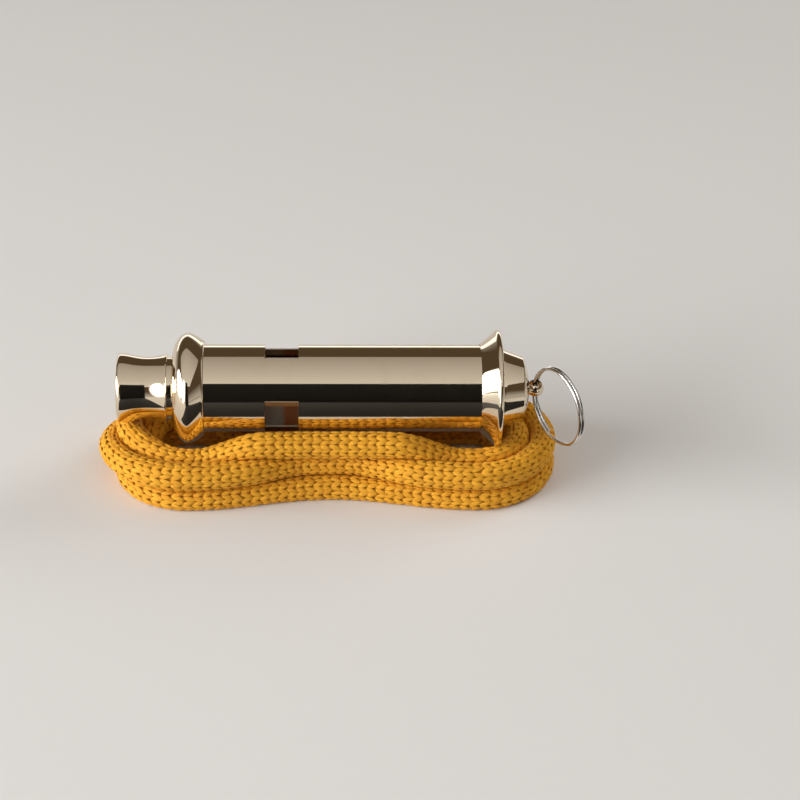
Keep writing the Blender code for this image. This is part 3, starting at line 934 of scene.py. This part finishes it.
def add_ring():
    """The line as a curve with a round section, made a mesh."""
    points = ring_points()
    start_vertex("split_ring_wire", points[0])
    draw_on(points)
    bpy.ops.object.mode_set(mode="OBJECT")
    bpy.ops.object.convert(target="CURVE")
    curve = bpy.context.object.data
    curve.bevel_depth = RING_WIRE / 2 * MM
    curve.bevel_resolution = 4
    curve.use_fill_caps = True
    bpy.ops.object.convert(target="MESH")
    smooth_by_angle(RING_SHARP_FROM)
    return bpy.context.object


ring = add_ring()
print("ring:", len(ring.data.polygons), "faces")

# %% [markdown]
# Polished metal
#
# The plate is polished nickel with a warm tint, and the ring is bright steel. A perfect mirror would look
# unreal, so both have hair-fine marks from the polishing wheel, and faint smudges where they were handled.
# All this is noise read from the place on the piece, so it stays put from every side.

# %% Polished metal
SMUDGE_DULLS = 0.09
WHEEL_MARKS = (9000, 60, 60)


def two_colours(nodes, first, second):
    """A mix of two colours."""
    mix = node(nodes, "ShaderNodeMix", data_type="RGBA")
    mix.inputs["A"].default_value = (*first, 1)
    mix.inputs["B"].default_value = (*second, 1)
    return mix


def polished_metal(name, colour, smudge_colour, roughness):
    """Polished metal with wheel marks and smudges."""
    material, nodes, shader = new_material(name)
    place = nodes.new("ShaderNodeTexCoord")
    smudges = node(nodes, "ShaderNodeTexNoise", scale=130.0, detail=4.0, roughness=0.6)
    smudged = node(nodes, "ShaderNodeMapRange", from_min=0.52, from_max=0.78)
    tint = two_colours(nodes, colour, smudge_colour)
    gloss = node(nodes, "ShaderNodeMapRange", to_min=roughness, to_max=roughness + SMUDGE_DULLS)
    squeeze = node(nodes, "ShaderNodeMapping", scale=WHEEL_MARKS)
    marks = node(nodes, "ShaderNodeTexNoise", scale=1.0, detail=2.0)
    bump = node(nodes, "ShaderNodeBump", strength=0.05, distance=0.02 * MM)
    wire(place, "Object", smudges, "Vector")
    wire(smudges, "Fac", smudged, "Value")
    wire(smudged, "Result", tint, "Factor")
    wire(smudged, "Result", gloss, "Value")
    wire(place, "Object", squeeze, "Vector")
    wire(squeeze, "Vector", marks, "Vector")
    wire(marks, "Fac", bump, "Height")
    wire(bump, "Normal", shader, "Normal")
    wire(tint, "Result", shader, "Base Color")
    wire(gloss, "Result", shader, "Roughness")
    set_inputs(shader, {"Metallic": 1.0})
    return material


NICKEL, NICKEL_SMUDGE = (0.85, 0.725, 0.55), (0.80, 0.665, 0.485)
STEEL, STEEL_SMUDGE = (0.74, 0.72, 0.69), (0.62, 0.60, 0.57)
shell_plate = polished_metal("nickel_shell", NICKEL, NICKEL_SMUDGE, roughness=0.045)
mouthpiece_plate = polished_metal("nickel_mouthpiece", NICKEL, NICKEL_SMUDGE, roughness=0.045)
barrel_plate = polished_metal("nickel_barrel", NICKEL, NICKEL_SMUDGE, roughness=0.04)
ring_steel = polished_metal("bright_steel", STEEL, STEEL_SMUDGE, roughness=0.10)
print("metals:", shell_plate.name, mouthpiece_plate.name, barrel_plate.name, ring_steel.name)

# %% [markdown]
# Bare brass inside the tubes
#
# The plating never reaches far into a tube, so the bore of the mouthpiece and the cut faces of the windows
# are dull brass. The inner faces could be picked out and given a second material. The distance from the
# axis tells inside from outside as well, and the change falls exactly on the edge.

# %% Bare brass inside
BARE_BRASS = (0.27, 0.18, 0.095)
BARE_ROUGHNESS = 0.34
PLATE_FADE = 0.05
PLATE_DEPTH = 0.08


def bare_inside(material, inside):
    """Lets a plated metal give way to dull brass nearer the axis than inside."""
    nodes, links = material.node_tree.nodes, material.node_tree.links
    shader = nodes["Principled BSDF"]
    place = nodes.new("ShaderNodeTexCoord")
    across = node(nodes, "ShaderNodeVectorMath", operation="MULTIPLY_ADD")
    across.inputs[1].default_value = (0, 1, 1)
    across.inputs[2].default_value = (0, -AXIS, 0)
    radius = node(nodes, "ShaderNodeVectorMath", operation="LENGTH")
    within = node(nodes, "ShaderNodeMapRange", from_min=(inside + PLATE_FADE) * MM, from_max=inside * MM)
    wire(place, "Object", across, 0)
    wire(across, "Vector", radius, 0)
    wire(radius, "Value", within, "Value")
    brass = {"Base Color": ("RGBA", (*BARE_BRASS, 1)), "Roughness": ("FLOAT", BARE_ROUGHNESS)}
    for entry, (kind, bare) in brass.items():
        mix = node(nodes, "ShaderNodeMix", data_type=kind)
        mix.inputs["B"].default_value = bare
        links.new(shader.inputs[entry].links[0].from_socket, mix.inputs["A"])
        wire(within, "Result", mix, "Factor")
        wire(mix, "Result", shader, entry)


bare_inside(mouthpiece_plate, BORE)
bare_inside(barrel_plate, BARREL_RADIUS - PLATE_DEPTH)
print("bare brass: within", BORE, "mm of the axis in the mouthpiece")

# %% [markdown]
# Chamber walls: painted light and a painted reflection
#
# Through a window one sees a wall of the chambers, grey on the mouthpiece's side and brown further on. The
# brown is a painted reflection of the amber cord, and both colours are painted lighter than the wall, as
# painted light in the dim chamber. Two materials would meet in a straight line. Here a noise shifts the
# place that a gradient reads, so the brown has a ragged edge.

# %% Chamber wall colours, painted light and reflection
# Painted light and reflection: the grey and brown are lighter than the wall is, and the brown is the amber
# cord mirrored.
PAINTED_LIGHT_GREY = (0.68, 0.63, 0.52)
PAINTED_CORD_REFLECTION_BROWN = (0.66, 0.21, 0.032)
CLEAN_UNTIL = 31.4
STAINED_FROM = 32.6
RAGGED = 1.6


def brass_painted_reflection():
    """Light grey up to one station and brown from another: painted light, and a painted reflection of the
    cord.
    """
    material, nodes, shader = new_material("brass_painted_reflection")
    place = nodes.new("ShaderNodeTexCoord")
    blotches = node(nodes, "ShaderNodeTexNoise", scale=700.0, detail=3.0)
    shift = node(nodes, "ShaderNodeVectorMath", operation="MULTIPLY_ADD")
    shift.inputs[1].default_value = (RAGGED * MM, 0, 0)
    parts = nodes.new("ShaderNodeSeparateXYZ")
    along = node(nodes, "ShaderNodeMapRange", interpolation_type="SMOOTHSTEP",
                 from_min=TIP + (CLEAN_UNTIL + RAGGED / 2) * MM,
                 from_max=TIP + (STAINED_FROM + RAGGED / 2) * MM)
    tint = two_colours(nodes, PAINTED_LIGHT_GREY, PAINTED_CORD_REFLECTION_BROWN)
    wire(place, "Object", blotches, "Vector")
    wire(blotches, "Color", shift, 0)
    wire(place, "Object", shift, 2)
    wire(shift, "Vector", parts, "Vector")
    wire(parts, "X", along, "Value")
    wire(along, "Result", tint, "Factor")
    wire(tint, "Result", shader, "Base Color")
    set_inputs(shader, {"Metallic": 0.15, "Roughness": 0.5})
    return material


# The print below names the painted brown reflection a stain.
divider_brass = brass_painted_reflection()
print("stain: from", CLEAN_UNTIL, "to", STAINED_FROM, "mm behind the tip")

# %% [markdown]
# Dress the pieces
#
# Each shell gets its metal and the body that it moves with, and the solid that it stands for is hidden.
# The ring alone moves, so it rides on a body of its own. The pieces inside could be modelled again, but
# their solids already have the right shape, so they only get brass.

# %% Dress the pieces
BRASS, BRASS_SMUDGE = (0.60, 0.42, 0.23), (0.46, 0.31, 0.16)


def coat(piece, material):
    """Gives a piece one material in place of any other."""
    piece.data.materials.clear()
    piece.data.materials.append(material)


def dress(piece, material, body, cad_node):
    """Gives a piece its metal and the body it moves with, and hides the solid it stands for."""
    coat(piece, material)
    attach(piece, body)
    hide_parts(cad_node)


shells = (
    (mouthpiece, mouthpiece_plate, "mouthpiece"),
    (collar, shell_plate, "bead_collar"),
    (barrel, barrel_plate, "barrel"),
    (flange, shell_plate, "end_flange"),
    (cap, shell_plate, "end_cap"),
    (eye, shell_plate, "ring_eye"))
for shell, plate, cad_node in shells:
    dress(shell, plate, "whistle", cad_node)
dress(ring, ring_steel, "ring", "split_ring")
inner_brass = polished_metal("dull_brass", BRASS, BRASS_SMUDGE, roughness=0.34)
for kind in ("airway_block_", "chamber_stop_"):
    for voice in ("high", "middle", "low"):
        coat(frame["nodes"][kind + voice], inner_brass)
coat(frame["nodes"]["chamber_divider"], divider_brass)
print("dressed:", len(shells), "shells and", ring.name)

# %% [markdown]
# Floor
#
# The hank lies on a plain pale table. A small plane would show its edges in the polished barrel. So the
# table is a wide disc, smooth and matte, which shows the soft shadow and nothing else.

# %% Floor
TABLE_RADIUS = 3
TABLE_COLOUR = (0.80, 0.79, 0.77)
bpy.ops.object.select_all(action="DESELECT")
bpy.ops.mesh.primitive_circle_add(vertices=96, radius=TABLE_RADIUS, fill_type="NGON", location=(0, 0, FLOOR))
table = bpy.context.object
table.name = "floor"
matte, nodes, shader = new_material("pale_table")
set_inputs(shader, {"Base Color": (*TABLE_COLOUR, 1), "Roughness": 0.9, "Specular IOR Level": 0.1})
table.data.materials.append(matte)
print("floor:", round(-FLOOR / MM, 2), "mm below the whistle's axis")

# %% [markdown]
# Overhead panel
#
# Polished metal is lit by what it mirrors. The panel overhead shows as the beige band along the barrel. A
# bright lamp there would burn out to white, and an even one would look like a sticker. So it is dim, and
# its face fades towards the back.

# %% Overhead panel
PANEL_PLACE = (0, -0.135, 0.36)
PANEL_SIZE = (0.90, 0.72)
PANEL_BACK_SHARE = 0.38


def lamp_object(name, place, size, aim, radiance):
    """A rectangular lamp that faces a point. Radiance is the brightness of its face."""
    lamp = bpy.data.lights.new(name, "AREA")
    lamp.shape = "RECTANGLE"
    lamp.size, lamp.size_y = size
    lamp.energy = radiance * math.pi * size[0] * size[1]
    item = bpy.data.objects.new(name, lamp)
    bpy.context.scene.collection.objects.link(item)
    item.location = place
    item.rotation_mode = "QUATERNION"
    item.rotation_quaternion = (Vector(aim) - Vector(place)).to_track_quat("-Z", "Y")
    item.visible_camera = False
    return item


def lamp_face(item):
    """Starts a lamp's shading: its nodes, and a node that gives the place on its face."""
    item.data.use_nodes = True
    nodes = item.data.node_tree.nodes
    return nodes, nodes.new("ShaderNodeNewGeometry")


def fade_to_back(item, depth, share_at_back):
    """Lets a lamp's face grow dimmer from its front edge to its back edge."""
    nodes, face = lamp_face(item)
    parts = nodes.new("ShaderNodeSeparateXYZ")
    front, back = item.location.y - depth / 2, item.location.y + depth / 2
    fade = node(nodes, "ShaderNodeMapRange", from_min=front, from_max=back, to_min=1.0, to_max=share_at_back)
    wire(face, "Position", parts, "Vector")
    wire(parts, "Y", fade, "Value")
    wire(fade, "Result", nodes["Emission"], "Strength")


overhead = lamp_object("overhead", PANEL_PLACE, PANEL_SIZE, aim=(0, PANEL_PLACE[1], 0), radiance=0.70)
fade_to_back(overhead, PANEL_SIZE[1], PANEL_BACK_SHARE)
print("overhead panel:", PANEL_SIZE[0], "by", PANEL_SIZE[1], "m")

# %% [markdown]
# Softboxes
#
# A round barrel shows little of what stands beyond its ends, so two softboxes there light the table and the
# cord. The left one shows as white lights on the lip, the collar and the flange. Mirrors don't see the
# right one, which would put a second light on the collar. The neck's bright streak comes from a panel that
# only mirrors see, and a low strip lights the back. A hard edge mirrors as a cut-out shape, so the first
# three fade towards their edges.

# %% Softboxes
LEFT_PLACE = (-1.20, -0.40, 0.40)
RIGHT_PLACE = (0.92, 0.60, 0.64)
NECK_PLACE = (-0.50, -0.80, 0.36)
STRIP_PLACE, STRIP_AIM = (0, 0.92, FLOOR + 0.10), (0, 0, FLOOR + 0.03)
FULL_WITHIN = 0.7


def soft_edges(item, reach):
    """Lets a lamp's face fade out sideways and upwards, to nothing at its reach."""
    nodes, face = lamp_face(item)
    offset = node(nodes, "ShaderNodeVectorMath", operation="SUBTRACT")
    offset.inputs[1].default_value = item.location
    share = node(nodes, "ShaderNodeVectorMath", operation="MULTIPLY")
    share.inputs[1].default_value = (1 / reach[0], 1 / reach[0], 1 / reach[1])
    length = node(nodes, "ShaderNodeVectorMath", operation="LENGTH")
    fade = node(nodes, "ShaderNodeMapRange", interpolation_type="SMOOTHSTEP",
                from_min=1.0, from_max=FULL_WITHIN)
    wire(face, "Position", offset, 0)
    wire(offset, "Vector", share, 0)
    wire(share, "Vector", length, 0)
    wire(length, "Value", fade, "Value")
    wire(fade, "Result", nodes["Emission"], "Strength")


left = lamp_object("left_softbox", LEFT_PLACE, (1.60, 0.80), aim=(0, 0, LEFT_PLACE[2]), radiance=11.0)
soft_edges(left, reach=(0.80, 0.40))
right = lamp_object("right_softbox", RIGHT_PLACE, (0.80, 1.00), aim=(0, 0, RIGHT_PLACE[2]), radiance=3.5)
soft_edges(right, reach=(0.48, 0.50))
right.visible_glossy = False
neck_card = lamp_object("neck_card", NECK_PLACE, (0.72, 1.04), aim=(0, 0, 0), radiance=2.4)
soft_edges(neck_card, reach=(0.36, 0.52))
neck_card.visible_diffuse = False
back_strip = lamp_object("back_strip", STRIP_PLACE, (1.80, 0.18), aim=STRIP_AIM, radiance=1.1)
print("lamps:", ", ".join(item.name for item in (left, right, neck_card, back_strip)))

# %% [markdown]
# Black card and mat
#
# Under the beige band the barrel shows a dark one, which gives polished metal its depth. On a pale table it
# would mirror only pale things. So a black card stands in front and a black mat lies before the hank. Only
# mirrors see them, so the table stays pale and the cord keeps its light.

# %% Black card and mat
CARD_BLACK = (0.003, 0.003, 0.003)
CARD_X = 0.014
CARD_WIDTH = 0.132
CARD_HEIGHT = 0.209
MAT_DEPTH = 0.179


def black_card(name, place, size, turn):
    """A black sheet that only mirrors see."""
    bpy.ops.object.select_all(action="DESELECT")
    bpy.ops.mesh.primitive_plane_add(size=1, location=place, rotation=(turn, 0, 0))
    card = bpy.context.object
    card.name = name
    card.scale = (*size, 1)
    material, nodes, shader = new_material(name)
    set_inputs(shader, {"Base Color": (*CARD_BLACK, 1), "Roughness": 0.9})
    card.data.materials.append(material)
    card.visible_camera = False
    card.visible_diffuse = False
    card.visible_shadow = False
    card.visible_transmission = False


black_card("front_card", (CARD_X, -0.20, FLOOR + 0.1035), (CARD_WIDTH, CARD_HEIGHT), math.pi / 2)
black_card("front_mat", (CARD_X, -0.1105, FLOOR + 0.0005), (CARD_WIDTH, MAT_DEPTH), 0)
print("card and mat:", round(CARD_WIDTH / MM), "mm wide")

# %% [markdown]
# Soft world
#
# The rest of the room fills the shadows. An even grey would mirror as a flat fog, so the world is pale near
# the table and turns to a dim warm brown higher up. The Standard view keeps colours as they are written.

# %% Soft world
ROOM_LOW = (0.50, 0.49, 0.47)
ROOM_HIGH = (0.085, 0.060, 0.035)
ROOM_HIGH_FROM = 0.30
world = bpy.data.worlds.new("studio")
bpy.context.scene.world = world
world.use_nodes = True
nodes = world.node_tree.nodes
place = nodes.new("ShaderNodeTexCoord")
parts = nodes.new("ShaderNodeSeparateXYZ")
ramp = colour_ramp(nodes, (ROOM_LOW, ROOM_HIGH), (0, ROOM_HIGH_FROM))
wire(place, "Generated", parts, "Vector")
wire(parts, "Z", ramp, "Fac")
wire(ramp, "Color", nodes["Background"], "Color")
bpy.context.scene.view_settings.view_transform = "Standard"
print("world:", world.name)
